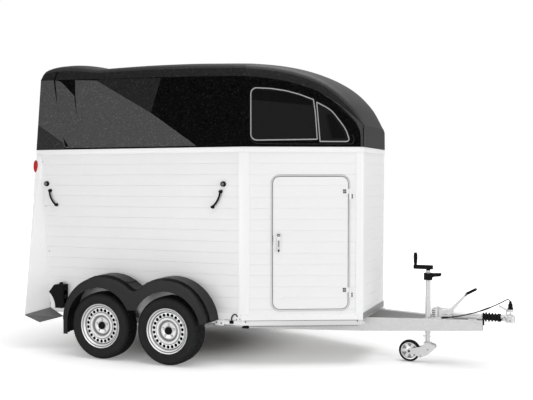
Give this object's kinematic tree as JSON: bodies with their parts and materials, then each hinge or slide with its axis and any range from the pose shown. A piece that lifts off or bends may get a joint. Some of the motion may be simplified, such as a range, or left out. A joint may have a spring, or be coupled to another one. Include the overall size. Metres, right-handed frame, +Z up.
{
  "type": "two-horse trailer",
  "caption": "Two-horse trailer with plank walls, moulded hood, tandem braked axles, rear ramp, side door and a V drawbar on a jockey wheel.",
  "frame": {"origin": "on the ground below the middle of the trailer's overall length and width", "axes": "+X forward to the coupling, +Y to the trailer's left, +Z up"},
  "size_m": [4.608, 2.245, 2.883],
  "materials": {
    "galvanised": "dull galvanised, spangled",
    "white_wall": "smooth white, satin",
    "white_trim": "smooth white, satin",
    "bare_alloy": "mill finish",
    "hood_black": "metallic black, glossy",
    "pane": "dark tinted",
    "frame_grey": "silver grey, satin",
    "tarp": "coated cloth",
    "lamp_red": "clear red",
    "black_plastic": "grained black",
    "dark_panel": "dark grey",
    "rubber": "matt black",
    "tyre": "matt black",
    "rim_silver": "silver, satin",
    "floor_wood": "coated ply",
    "padding": "grained black"
  },
  "bodies": {
    "trailer": {"chassis_rails": "galvanised", "cross_members": "galvanised", "drawbar": "galvanised", "floor_deck": "floor_wood", "sill_rail": "bare_alloy", "sill_strip": "white_trim", "side_wall_right": "white_wall", "side_wall_left": "white_wall", "nose_wall_right": "white_wall", "nose_wall_left": "white_wall", "front_wall": "white_wall", "wall_posts": "white_trim", "belt_rail": "white_trim", "rear_frame": "white_trim", "corner_cover": "dark_panel", "hood": "hood_black", "window_pane_right": "pane", "window_pane_left": "pane", "window_frames": "frame_grey", "rear_tarp": "tarp", "lamps": "lamp_red", "mudguard_right": "black_plastic", "mudguard_left": "black_plastic", "axle_rear": "galvanised", "axle_front": "galvanised", "overrun_housing": "galvanised", "bellows": "rubber", "coupling_head": "galvanised", "handbrake_lever": "galvanised", "plug_lead": "rubber", "plug": "black_plastic", "jockey_tube": "galvanised", "jockey_collar": "black_plastic", "jockey_crank": "black_plastic", "wheel_chocks": "black_plastic", "wall_handles": "black_plastic", "partition": "padding", "stall_bars": "padding", "ramp_latches": "galvanised", "door_frame": "frame_grey", "door_hinges": "white_trim", "ramp_hinges": "galvanised"},
    "side_door": {"door_leaf": "white_wall", "door_fittings": "bare_alloy"},
    "ramp": {"ramp_panel": "white_wall", "ramp_fittings": "galvanised"},
    "jockey_swivel": {"jockey_fork": "galvanised"},
    "jockey_roller": {"jockey_wheel": "rubber"},
    "wheel_rear_right": {"tyre_rear_right": "tyre", "rim_rear_right": "rim_silver"},
    "wheel_front_right": {"tyre_front_right": "tyre", "rim_front_right": "rim_silver"},
    "wheel_rear_left": {"tyre_rear_left": "tyre", "rim_rear_left": "rim_silver"},
    "wheel_front_left": {"tyre_front_left": "tyre", "rim_front_left": "rim_silver"}
  },
  "joints": [
    {"name": "side_door_hinge", "type": "hinge", "parent": "trailer", "child": "side_door", "pos_m": [0.89789, -0.46534, 1.118], "axis": [0, 0, 1], "range_deg": [0, 150]},
    {"name": "ramp_hinge", "type": "hinge", "parent": "trailer", "child": "ramp", "pos_m": [-2.29, 0, 0.458], "axis": [0, -1, 0], "range_deg": [0, 107]},
    {"name": "jockey_swivel_turn", "type": "hinge", "parent": "trailer", "child": "jockey_swivel", "pos_m": [1.53413, -0.06725, 0.185], "axis": [0, 0, 1], "continuous": true},
    {"name": "jockey_wheel_spin", "type": "hinge", "parent": "jockey_swivel", "child": "jockey_roller", "pos_m": [1.36613, -0.06725, 0.1], "axis": [0, 1, 0], "continuous": true},
    {"name": "wheel_rear_right_spin", "type": "hinge", "parent": "trailer", "child": "wheel_rear_right", "pos_m": [-1.361, -1.012, 0.317], "axis": [0, 1, 0], "continuous": true},
    {"name": "wheel_front_right_spin", "type": "hinge", "parent": "trailer", "child": "wheel_front_right", "pos_m": [-0.646, -1.012, 0.317], "axis": [0, 1, 0], "continuous": true},
    {"name": "wheel_rear_left_spin", "type": "hinge", "parent": "trailer", "child": "wheel_rear_left", "pos_m": [-1.361, 1.012, 0.317], "axis": [0, 1, 0], "continuous": true},
    {"name": "wheel_front_left_spin", "type": "hinge", "parent": "trailer", "child": "wheel_front_left", "pos_m": [-0.646, 1.012, 0.317], "axis": [0, 1, 0], "continuous": true}
  ]
}
